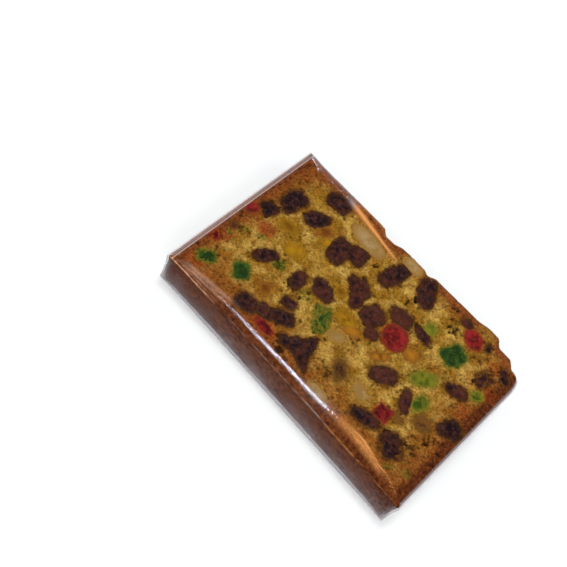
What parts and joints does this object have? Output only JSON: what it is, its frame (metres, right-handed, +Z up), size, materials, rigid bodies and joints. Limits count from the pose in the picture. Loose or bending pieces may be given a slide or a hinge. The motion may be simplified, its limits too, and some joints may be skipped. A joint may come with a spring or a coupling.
{
  "type": "fruit cake slice",
  "caption": "Slice of fruit cake with raisins, glace cherries and candied peel, sealed in clear film and lying on a cut face.",
  "frame": {"origin": "middle of the bounding box's floor, where the lower cut face rests", "axes": "+X along the slice's long side, the loaf's width; +Y from the loaf's base crust to its uneven top crust; +Z up through the slice's thickness"},
  "size_m": [0.1064, 0.0698, 0.016],
  "materials": {
    "film": "clear glossy wrapping film",
    "crumb": "open yellow-brown cake crumb with a browned crust",
    "raisin": "dark wrinkled raisins, cut through",
    "cherry": "red glace cherry, moist and translucent",
    "green_peel": "green candied fruit, dark and light, moist",
    "yellow_peel": "yellow, orange and brown candied peel, translucent",
    "nut": "pale smooth nut and candied melon"
  },
  "bodies": {
    "root": {"wrapped_slice": "film"}
  },
  "joints": []
}
